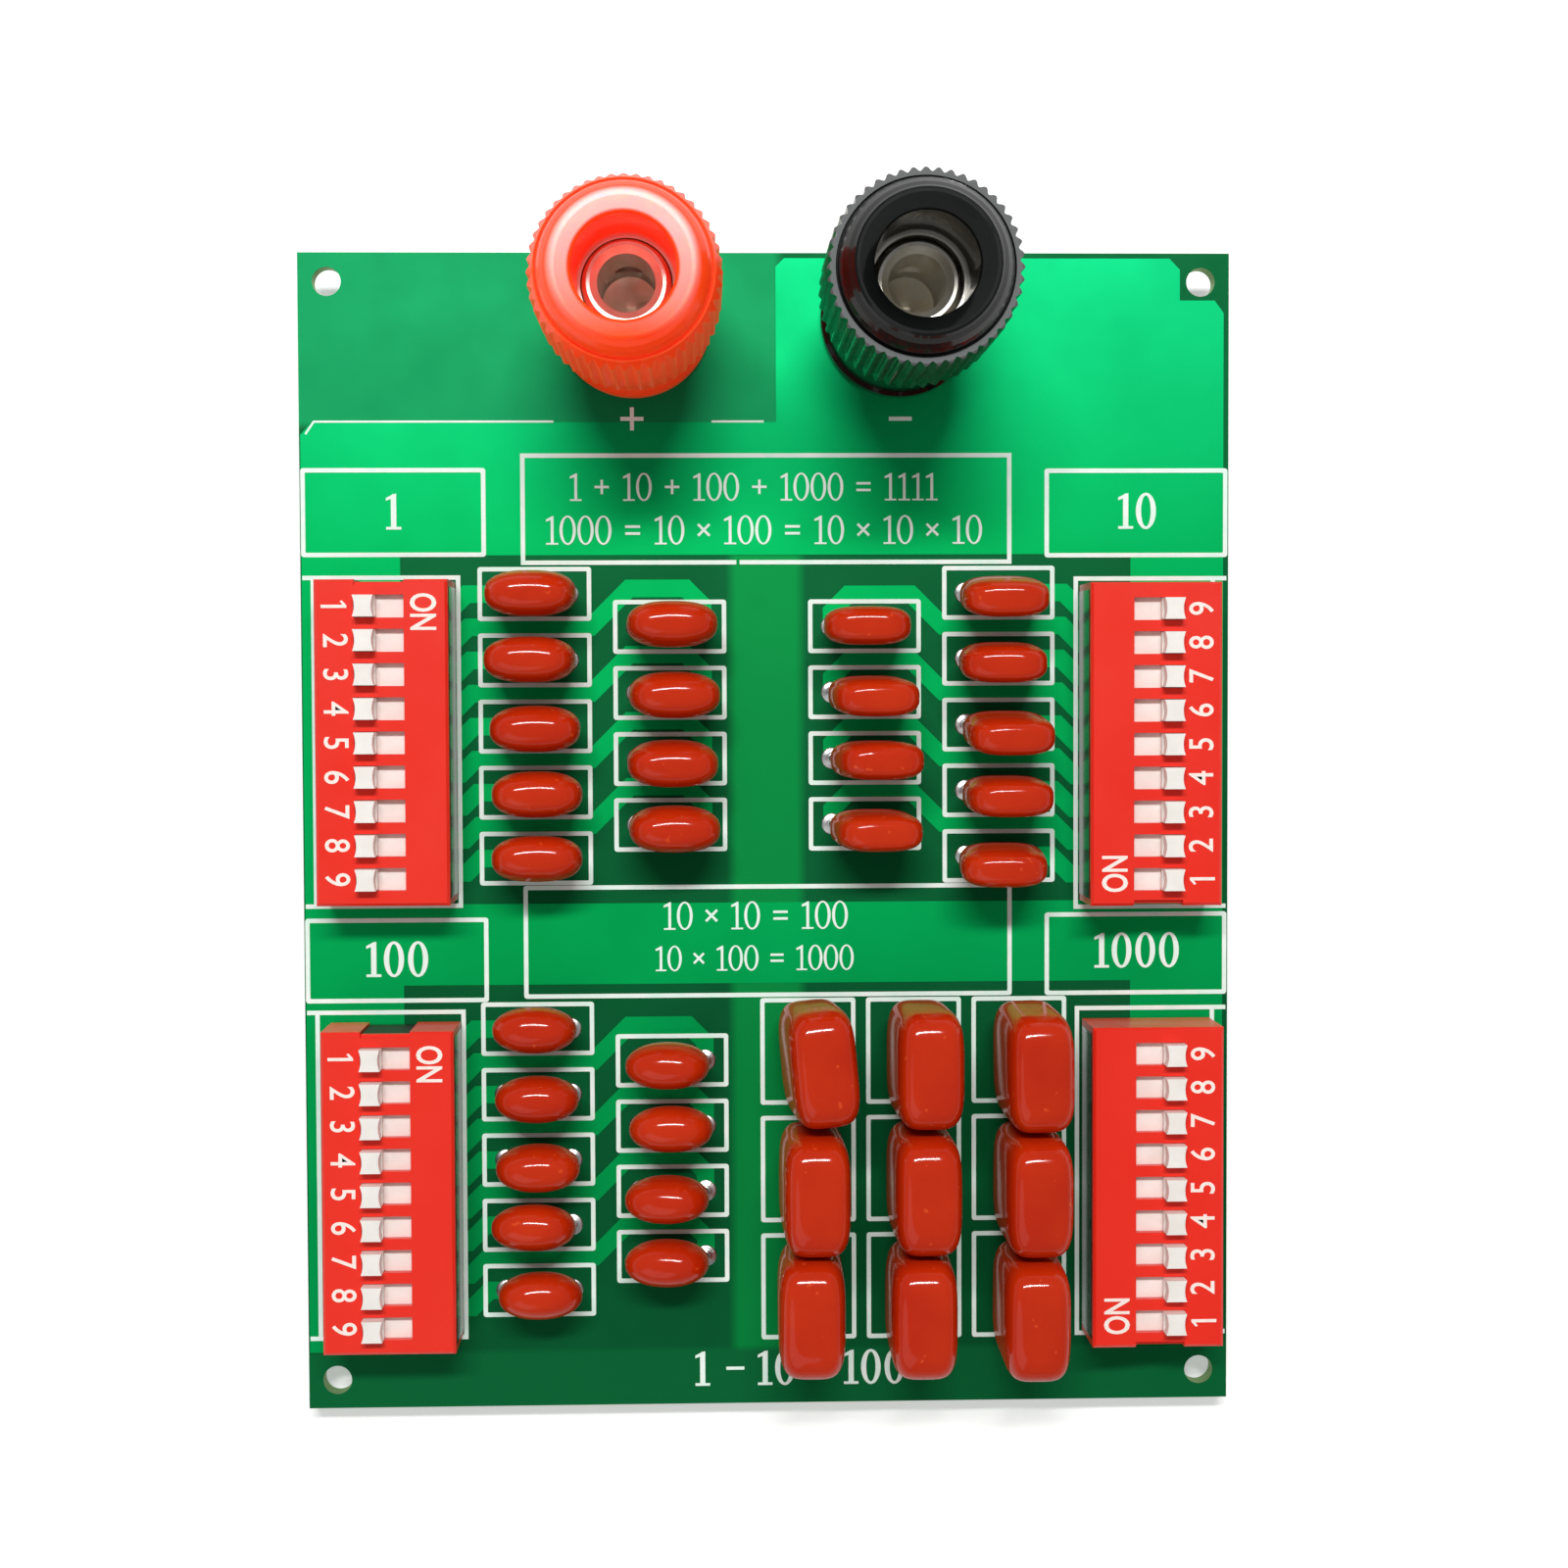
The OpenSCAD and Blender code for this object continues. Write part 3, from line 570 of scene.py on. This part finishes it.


# Printing on the board, and painted glint lines along a copper edge

def text_shapes(text, x, y, height, bold=False):
    """Prisms for a line of numbers in a book face, centred on a point: stems with serifs and oval noughts."""
    advance = {"1": 0.5, "0": 0.68 if bold else 0.62, " ": 0.35, "+": 0.72, "=": 0.72, "x": 0.6, "-": 0.6}
    stem = 0.075 if bold else 0.05
    side_stroke = 0.15 if bold else 0.105
    foot = 0.075 if bold else 0.06
    width = sum(advance[c] for c in text)
    place = x - width * height / 2
    shapes = []
    for c in text:
        def at(points, left=place):
            return [(left + px * height, y + (py - 0.5) * height) for px, py in points]
        if c == "1":
            shapes.append(("prism", at([(0.27 - stem, 0), (0.27 + stem, 0), (0.27 + stem, 1),
                                        (0.27 - 0.6 * stem, 0.97), (0.27 - stem, 0.9)])))
            shapes.append(("prism", at([(0.06, 0), (0.48, 0), (0.48, foot), (0.06, foot)])))
            shapes.append(("prism", at([(0.06, 0.8), (0.27 - stem, 0.85), (0.27, 1), (0.2, 0.95), (0.06, 0.88)])))
        elif c == "0":
            ring = [(math.cos(2 * math.pi * k / 28), math.sin(2 * math.pi * k / 28)) for k in range(28)]
            middle = advance["0"] / 2
            outer = at([(middle + 0.285 * a, 0.5 + 0.51 * b) for a, b in ring])
            inner = at([(middle + (0.285 - side_stroke) * a, 0.5 + (0.51 - foot) * b) for a, b in ring])
            shapes.append(("ring", outer, inner))
        elif c in "+=-":
            bars = {"+": (0.5,), "-": (0.5,), "=": (0.38, 0.62)}[c]
            for level in bars:
                shapes.append(("prism", at([(0.1, level - 0.045), (0.62, level - 0.045),
                                            (0.62, level + 0.045), (0.1, level + 0.045)])))
            if c == "+":
                shapes.append(("prism", at([(0.315, 0.24), (0.405, 0.24), (0.405, 0.76), (0.315, 0.76)])))
        elif c == "x":
            for rise in (1, -1):
                ends = [(0.1, 0.5 - 0.2 * rise), (0.5, 0.5 + 0.2 * rise)]
                shapes.append(("prism", at(strip_outline(ends, 0.09))))
        place += advance[c] * height
    return shapes


# Text, middle, height of a figure, and whether it is bold
LABELS = [
    ("1", -28.6, 24.75, 2.75, True),
    ("10", 28.6, 24.7, 2.75, True),
    ("100", -28.6, -9.6, 2.72, True),
    ("1000", 28.6, -9.3, 2.72, True),
    ("1 + 10 + 100 + 1000 = 1111", -1.0, 26.6, 2.12, False),
    ("1000 = 10 x 100 = 10 x 10 x 10", -0.2, 23.3, 2.2, False),
    ("10 x 10 = 100", -1.0, -6.4, 2.15, False),
    ("10 x 100 = 1000", -1.1, -9.7, 1.95, False),
    ("+", -10.3, 31.8, 3.4, False),
    ("-", 10.1, 31.8, 3.4, False),
    ("1 - 10 - 100", 2.3, -41.7, 2.7, True),
]
BOXES = [
    # The lower box for words, and the boxes with the banks' values
    (-18.7, -12.57, 18.7, -4.17),
    (-35.45, 21.45, -21.7, 27.9),
    (21.6, 21.3, 35.45, 27.8),
    (-35.45, -12.8, -21.75, -6.6),
    (21.6, -12.6, 35.45, -6.5),
]
# The upper box for words has a break in its lower line
BROKEN_BOX = [(-2.35, 20.82), (-18.7, 20.82), (-18.7, 29.0), (18.7, 29.0), (18.7, 20.82), (-2.1, 20.82)]
# Round each switch: the line towards the middle, the outer line, and the two lines that run on to the edge
SWITCH_LINES = [
    (-23.68, -34.75, -5.5, 19.7),
    (23.85, 34.5, -5.9, 19.5),
    (-23.55, -34.75, -39.0, -13.7),
    (23.95, 34.5, -39.25, -13.8),
]
EDGE_X = 35.55
# Half the width and half the height of the frames round the capacitors
SMALL_FRAME = (4.18, 1.9)
LARGE_FRAME = (3.52, 3.98)
# Painted glint lines, in the board's ink, along the edge of the copper beside the red post, with a break behind the
# post's sign
PAINTED_GLINT_LINES = [[(-35.2, 30.65), (-34.55, 31.6), (-16.3, 31.6)], [(-4.2, 31.6), (-0.2, 31.6)]]
GLINT_LINE_W = 0.16


def build_ink_and_glints(bm):
    low = top + COPPER_T * 0.5
    high = top + INK_T
    for box in BOXES:
        add_frame(bm, *box, low, high)
    add_prism(bm, strip_outline(BROKEN_BOX, INK_W), low, high)
    for inner, outer, bottom_y, top_y in SWITCH_LINES:
        edge = math.copysign(EDGE_X, outer)
        add_prism(bm, strip_outline([(edge, bottom_y), (inner, bottom_y), (inner, top_y), (edge, top_y)], INK_W),
                  low, high)
        add_prism(bm, strip_outline([(outer, bottom_y), (outer, top_y)], INK_W), low, high - 0.002)
    for bank in SMALL_BANKS:
        for row in range(POSITIONS):
            x, y = small_place(bank, row)
            add_frame(bm, x - SMALL_FRAME[0], y - SMALL_FRAME[1], x + SMALL_FRAME[0], y + SMALL_FRAME[1],
                      low, high + 0.002)
    for x in LARGE_X:
        for y in LARGE_Y:
            add_frame(bm, x - LARGE_FRAME[0], y - LARGE_FRAME[1], x + LARGE_FRAME[0], y + LARGE_FRAME[1],
                      low, high + 0.002)
    # Thin ink lines that are painted glints on the copper's edge
    for path in PAINTED_GLINT_LINES:
        add_prism(bm, strip_outline(path, GLINT_LINE_W), low, high - 0.01)
    for text, x, y, height, bold in LABELS:
        # Strokes that overlap differ in height, so that no two faces lie in one plane
        for step, shape in enumerate(text_shapes(text, x, y, height, bold)):
            level = high + 0.004 + 0.001 * (step % 4)
            if shape[0] == "ring":
                add_ring(bm, shape[1], shape[2], low, level)
            else:
                add_prism(bm, shape[1], low, level)


piece("board_printing_and_glints", build_ink_and_glints, ink_finish)


# Solder round the leads on the component side

def lead_places():
    places = []
    for bank in SMALL_BANKS:
        for row in range(POSITIONS):
            x, y = small_place(bank, row)
            places += [(x - LEAD_SPAN / 2, y), (x + LEAD_SPAN / 2, y)]
    for x in LARGE_X:
        for y in LARGE_Y:
            places += [(x, y - LEAD_SPAN / 2), (x, y + LEAD_SPAN / 2)]
    return places


def pin_places():
    places = []
    for bank in BANKS:
        x = cover_middle(bank)[0]
        for row in range(POSITIONS):
            y = switch_row(bank, row)
            places += [(x - PIN_SPAN / 2, y), (x + PIN_SPAN / 2, y)]
    return places


def add_fillet(bm, x, y, profile, steps=20):
    """A turned ring: profile is (radius, height) pairs from its inner edge round to its outer foot."""
    loops = []
    for r, z in profile:
        loops.append([bm.verts.new(((x + r * math.cos(2 * math.pi * k / steps)) * MM,
                                    (y + r * math.sin(2 * math.pi * k / steps)) * MM, z * MM))
                      for k in range(steps)])
    for a, b in zip(loops, loops[1:] + loops[:1]):
        for i in range(steps):
            j = (i + 1) % steps
            bm.faces.new((a[i], a[j], b[j], b[i]))


def build_top_solder(bm):
    profile = [(0.26, top - 0.05), (0.27, top + 0.3), (0.36, top + 0.21), (0.55, top + 0.14),
               (0.74, top + 0.1), (PAD_R - 0.03, top + 0.07), (PAD_R, top + 0.02), (PAD_R - 0.02, top - 0.02)]
    for x, y in lead_places():
        add_fillet(bm, x, y, profile)


piece("top_solder", build_top_solder, materials["solder"], smooth=True)


def build_bottom_pads(bm):
    for x, y in lead_places() + pin_places():
        add_ring(bm, circle(x, y, 1.0), circle(x, y, 0.7), -0.05, 0.01)
    for side in (-1, 1):
        add_ring(bm, circle(side * POST_X, POST_Y, 6.4, 48), circle(side * POST_X, POST_Y, 3.6, 48), -0.04, 0.01)


piece("bottom_pads", build_bottom_pads, materials["solder"])


# Capacitor bodies

# How much closer the leads are at the body than at the board
SMALL_CRIMP = 1.9
LARGE_CRIMP = 0.7
# Size along the leads, across and up; squareness in plan, seen along the leads and across them; and each
# body's lean in degrees, towards the bottom edge and to the right
BODIES = {
    "units": ((6.8, 3.45, 6.5), 2.5, 3, 4.4, [
        (1.5, 0), (-1, 3), (0, -1), (2, 5), (1.5, 3.5), (3, 3), (-0.5, 5), (1, 4.5), (-3.5, 4.5)]),
    "tens": ((6.5, 2.9, 7.2), 3, 4, 4.2, [
        (5.5, -1.5), (1, -1.5), (4, -3), (3.5, 4.5), (7, 2.5), (0.5, 7.5), (3, 1.5), (3, 6.5), (4.5, -3)]),
    "hundreds": ((6.35, 3.5, 5), 2.2, 2.6, 2.9, [
        (-6.5, 0), (-2.5, -5), (-3.5, 2.5), (-6.5, -1), (-1, 3), (-1.5, -6.5), (-9.5, -3), (-5, -7), (-7.5, 5)]),
    "thousands": ((8.9, 5, 10.8), 4, 5.5, 5, [
        (-0.3, 4.5), (0.5, 2.5), (2.3, 2), (1.6, 1.4), (1.6, 1.5), (2.9, 1.6), (0.8, -1), (1.5, -0.5), (3.2, 0.5)]),
}
# Degrees that the large bodies are turned on their leads
LARGE_TURNS = (5, 0, 1, 0, 0, 0, 0, 0, 0)
BODY_SIDES = 56
BODY_LEVELS = 24


def signed_power(value, power):
    return math.copysign(abs(value) ** power, value)


def body_place(bank, row):
    """Where a body's lead bends are, with its lean. Its own X runs between the leads."""
    down, right = BODIES[bank][4][row]
    if bank == "thousands":
        x, y = LARGE_X[row % 3], LARGE_Y[row // 3]
        turn = Matrix.Rotation(math.radians(90 + LARGE_TURNS[row]), 4, "Z")
        lean = Euler((math.radians(right), math.radians(-down), 0))
    else:
        x, y = small_place(bank, row)
        turn = Matrix.Identity(4)
        lean = Euler((math.radians(down), math.radians(right), 0))
    return Matrix.Translation((x, y, BOARD_T + BEND_H)) @ turn @ lean.to_matrix().to_4x4()


def add_body(bm, place, size, plan_power, end_power, side_power, seat_share):
    """A dipped body that swells from its flat seat and closes over its round top."""
    seat_turn = math.acos(seat_share ** (end_power / 2))
    seat_drop = math.sin(seat_turn) ** (2 / end_power)
    half_height = size[2] / (1 + seat_drop)
    crown_turn = math.radians(88)
    loops = []
    for level in range(BODY_LEVELS + 1):
        turn = -seat_turn + (seat_turn + crown_turn) * level / BODY_LEVELS
        share = math.cos(turn) ** (2 / end_power)
        long_share = math.cos(turn) ** (2 / side_power) if turn > 0 else share
        z = BODY_LIFT - BEND_H + half_height * (seat_drop + signed_power(math.sin(turn), 2 / end_power))
        loop = []
        for k in range(BODY_SIDES):
            angle = 2 * math.pi * (k + 0.5) / BODY_SIDES
            x = long_share * size[0] / 2 * signed_power(math.cos(angle), 2 / plan_power)
            y = share * size[1] / 2 * signed_power(math.sin(angle), 2 / plan_power)
            loop.append(bm.verts.new(place @ Vector((x, y, z)) * MM))
        loops.append(loop)
    for low, high in zip(loops, loops[1:]):
        for k in range(BODY_SIDES):
            after = (k + 1) % BODY_SIDES
            bm.faces.new((low[k], low[after], high[after], high[k]))
    bm.faces.new(loops[0][::-1])
    bm.faces.new(loops[-1])


for bank, (size, plan_power, end_power, side_power, _) in BODIES.items():
    crimp = LARGE_CRIMP if bank == "thousands" else SMALL_CRIMP
    seat_share = (LEAD_SPAN - crimp + 2 * LEAD_D) / size[0]

    def build_bodies(bm):
        for row in range(POSITIONS):
            add_body(bm, body_place(bank, row), size, plan_power, end_power, side_power, seat_share)

    bodies = piece(f"{bank}_dipped_bodies", build_bodies, materials["orange_coating"], smooth=True)
    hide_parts(f"{bank}_capacitors")


# Long sides of the switches

SIDE_T = 0.04
# The panels stop this far from the cover's ends, the board and the cover's top
SIDE_INSET = 0.5
SIDE_LIFT = 0.5
SIDE_DROP = 0.85


def build_switch_sides(bm):
    for bank in BANKS:
        low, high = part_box(f"{bank}_switch_cover")
        for x, out in ((low[0] / MM, -SIDE_T), (high[0] / MM, SIDE_T)):
            x0, x1 = sorted((x - 0.2 * out, x + out))
            outline = rounded(x0, low[1] / MM + SIDE_INSET, x1, high[1] / MM - SIDE_INSET, 0.01)
            add_prism(bm, outline, BOARD_T + SIDE_LIFT, COVER_TOP - SIDE_DROP)


piece("switch_sides", build_switch_sides, side_finish)


# Numbers on the switches

SWITCH_INK_T = 0.012

def drawn_one(name, height):
    """A 1 with a flag, which the built-in face lacks."""
    half = height / 2
    bm = bmesh.new()
    add_prism(bm, [(0.16, -half), (0.16, half), (-0.06, half), (-0.5, half - 0.33), (-0.42, half - 0.5),
                   (-0.12, half - 0.29), (-0.12, -half)], -SWITCH_INK_T, SWITCH_INK_T)
    mesh = bpy.data.meshes.new(name)
    bm.to_mesh(mesh)
    bm.free()
    return mesh


def lettering(name, text, height, bold):
    curve = bpy.data.curves.new(name, "FONT")
    curve.body = text
    curve.align_x = "CENTER"
    curve.align_y = "CENTER"
    curve.size = height * MM / CAP_SHARE
    curve.extrude = SWITCH_INK_T * MM
    curve.offset = bold * MM
    curve.resolution_u = 4
    return curve


def switch_text(name, text, bank, u, v, height, narrow, bold):
    """Printed on a cover: u runs to the board's middle and v to position 1, from the cover's middle."""
    side = BANKS[bank][0]
    x, y = cover_middle(bank)
    shape = drawn_one(name, height) if text == "1" else lettering(name, text, height, bold)
    shape.materials.append(switch_ink_finish)
    made = bpy.data.objects.new(name, shape)
    bpy.context.scene.collection.objects.link(made)
    made.location = Vector(((x - side * u) * MM, (y - side * v) * MM, (COVER_TOP + SWITCH_INK_T) * MM))
    made.rotation_euler = (0, 0, math.radians(90 * side))
    made.scale = (narrow, 1, 1)
    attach(made, "root")


# A capital's height as a share of the built-in face's size
CAP_SHARE = 0.73
for bank in BANKS:
    for position in range(POSITIONS):
        switch_text(f"{bank}_number_{position + 1}", str(position + 1), bank,
                    -3.45, row_top_y - position * PITCH, 1.9, 0.85, 0.02)
    switch_text(f"{bank}_on", "ON", bank, 3.05, row_top_y - 0.45, 1.95, 0.67, 0.05)


# Camera, at the photograph's place over the board

FOCAL_PX = 2596.97
PHOTO_PX = 1600
SENSOR = 36.0
# Millimetres from the middle of the board's top face, and turns in radians about Z, Y and X
CAMERA_PLACE = (-5.037, 11.006, 196.228)
CAMERA_TURNS = (("Z", 0.0052), ("Y", 0.0320), ("X", 0.0370))
camera_data = bpy.data.cameras.new("camera")
camera_data.sensor_width = SENSOR
camera_data.lens = FOCAL_PX / PHOTO_PX * SENSOR
camera = bpy.data.objects.new("camera", camera_data)
bpy.context.scene.collection.objects.link(camera)
world_to_camera = Matrix.Identity(3)
for axis, turn in CAMERA_TURNS:
    world_to_camera = world_to_camera @ Matrix.Rotation(turn, 3, axis)
place = (Vector(CAMERA_PLACE) + Vector((0, 0, BOARD_T))) * MM
camera.matrix_world = Matrix.Translation(place) @ world_to_camera.transposed().to_4x4()
camera_data.clip_start = 0.005
bpy.context.scene.camera = camera


# Floor and light

FLOOR_R = 2.2
WALL_H = 0.7
BEND_R = 0.5


def glow_for_camera(material, strength):
    """White that the camera, gloss and glass see, over the surface's own lit colour."""
    nodes = material.node_tree.nodes
    links = material.node_tree.links
    path = nodes.new("ShaderNodeLightPath")
    seen = nodes.new("ShaderNodeMath")
    seen.operation = "MAXIMUM"
    links.new(path.outputs["Is Camera Ray"], seen.inputs[0])
    links.new(path.outputs["Is Glossy Ray"], seen.inputs[1])
    through = nodes.new("ShaderNodeMath")
    through.operation = "MAXIMUM"
    links.new(seen.outputs[0], through.inputs[0])
    links.new(path.outputs["Is Transmission Ray"], through.inputs[1])
    level = nodes.new("ShaderNodeMath")
    level.operation = "MULTIPLY"
    links.new(through.outputs[0], level.inputs[0])
    level.inputs[1].default_value = strength
    shader = nodes["Principled BSDF"]
    shader.inputs["Emission Color"].default_value = (1, 1, 1, 1)
    links.new(level.outputs[0], shader.inputs["Emission Strength"])


def floor():
    """A pale floor under the post studs and the solder at the board's other end, which bends up far behind."""
    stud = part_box("red_post_stud")
    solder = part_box("solder_joints")
    slope = (stud[0][2] - solder[0][2]) / (POST_Y * MM - solder[0][1])
    steps = 72
    profile = [(0.4, 0.0), (FLOOR_R - BEND_R, 0.0)]
    profile += [(FLOOR_R - BEND_R + BEND_R * math.sin(math.radians(15 * k)),
                 BEND_R - BEND_R * math.cos(math.radians(15 * k))) for k in range(1, 7)]
    profile.append((FLOOR_R, WALL_H))
    bm = bmesh.new()
    loops = [[bm.verts.new((r * math.cos(2 * math.pi * k / steps), r * math.sin(2 * math.pi * k / steps), z))
              for k in range(steps)] for r, z in profile]
    bm.faces.new(loops[0])
    for low, high in zip(loops, loops[1:]):
        for k in range(steps):
            after = (k + 1) % steps
            bm.faces.new((low[k], low[after], high[after], high[k])).smooth = True
    mesh = bpy.data.meshes.new("floor")
    bm.to_mesh(mesh)
    bm.free()
    plane = bpy.data.objects.new("floor", mesh)
    bpy.context.scene.collection.objects.link(plane)
    plane.rotation_euler = (math.atan(slope), 0, 0)
    plane.location = (0, 0, stud[0][2] - slope * POST_Y * MM - 0.0001)
    material = bpy.data.materials.new("floor")
    material.use_nodes = True
    material.node_tree.nodes["Principled BSDF"].inputs["Base Color"].default_value = (0.88, 0.88, 0.87, 1)
    material.node_tree.nodes["Principled BSDF"].inputs["Roughness"].default_value = 0.8
    glow_for_camera(material, 0.35)
    mesh.materials.append(material)


floor()


def area_light(name, place, size, power, aim=(0, 0, 0)):
    data = bpy.data.lights.new(name, "AREA")
    data.shape = "RECTANGLE"
    data.size = size[0]
    data.size_y = size[1]
    data.energy = power
    made = bpy.data.objects.new(name, data)
    bpy.context.scene.collection.objects.link(made)
    made.location = place
    made.rotation_euler = (Vector(aim) - Vector(place)).to_track_quat("-Z", "Y").to_euler()


area_light("key", (-0.02, 0.30, 0.62), (0.34, 0.055), 3.6)
area_light("fill", (-0.25, -0.35, 0.5), (0.5, 0.4), 0.4)

world = bpy.data.worlds.new("world")
bpy.context.scene.world = world
world.use_nodes = True
world.node_tree.nodes["Background"].inputs["Color"].default_value = (1, 1, 1, 1)
world.node_tree.nodes["Background"].inputs["Strength"].default_value = 0.28
bpy.context.scene.view_settings.view_transform = "Standard"
